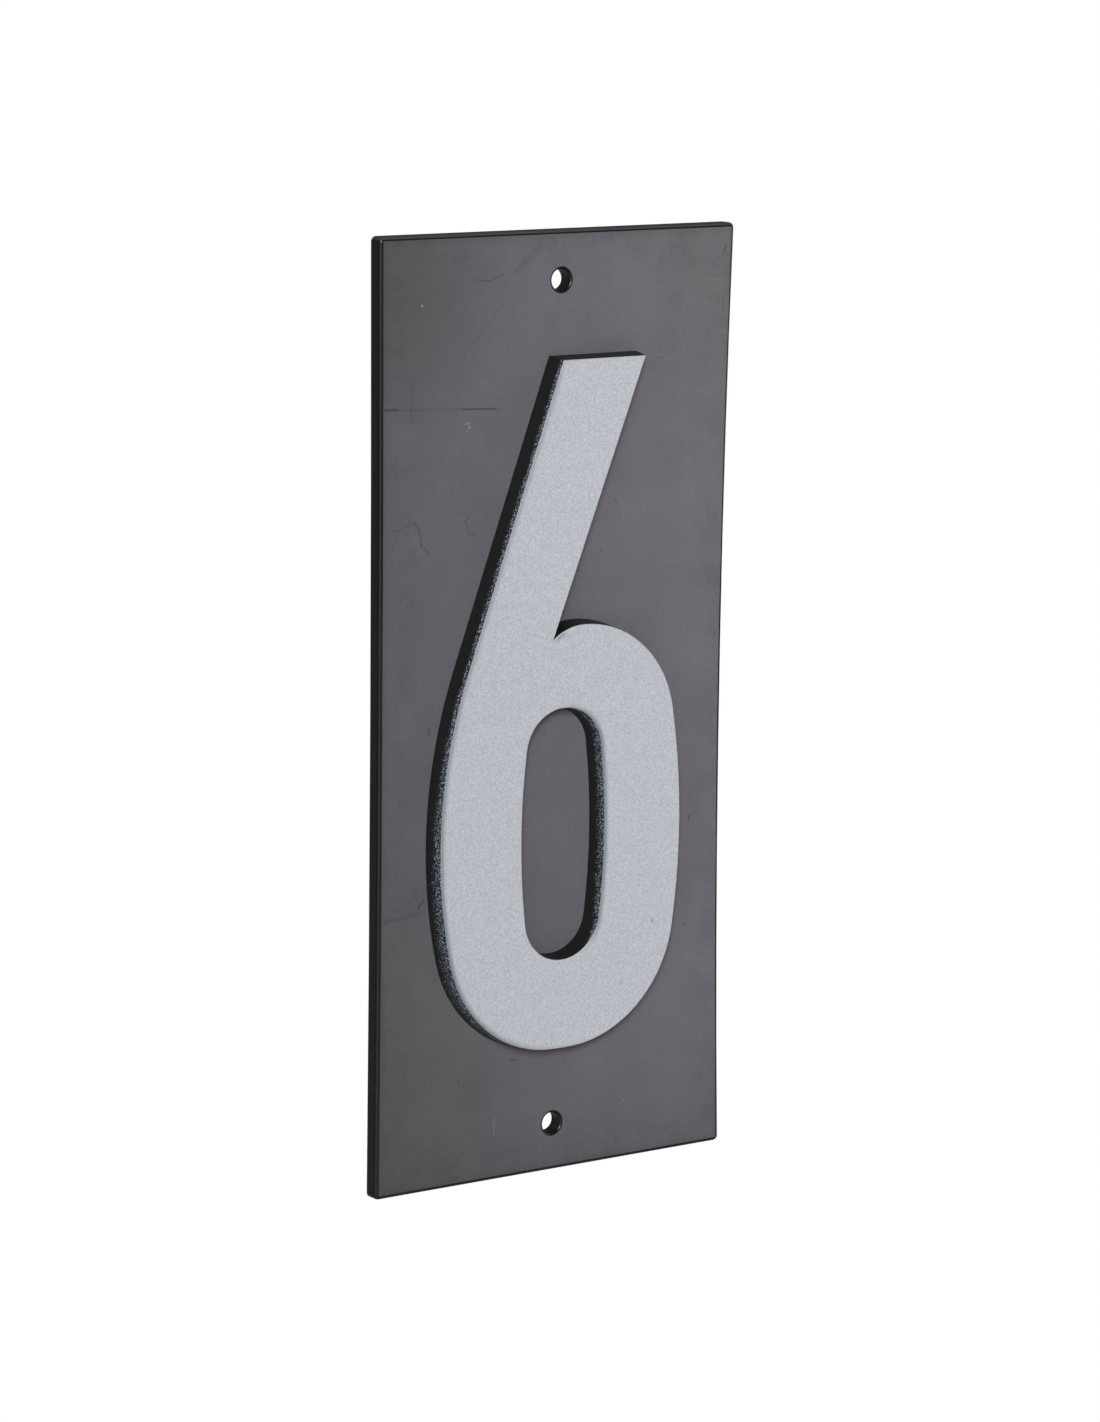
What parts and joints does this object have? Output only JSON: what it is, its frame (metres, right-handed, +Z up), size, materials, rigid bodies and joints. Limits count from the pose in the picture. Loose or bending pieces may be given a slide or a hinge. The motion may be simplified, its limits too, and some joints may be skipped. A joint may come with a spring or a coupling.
{
  "type": "door number plate",
  "caption": "Flat upright rectangular plate with a raised house number digit and a screw hole near each end, for fixing to a door or wall.",
  "frame": {"origin": "centre of the flat back face, which lies against the door or wall", "axes": "+Z up along the plate's long side, +Y out of the back into the wall, +X to the right seen from the front"},
  "size_m": [0.08, 0.0074, 0.18],
  "materials": {
    "plastic": "satin black moulded plastic, with silver-grey paint on the digit's face"
  },
  "bodies": {
    "root": {"number_plate": "plastic"}
  },
  "joints": []
}
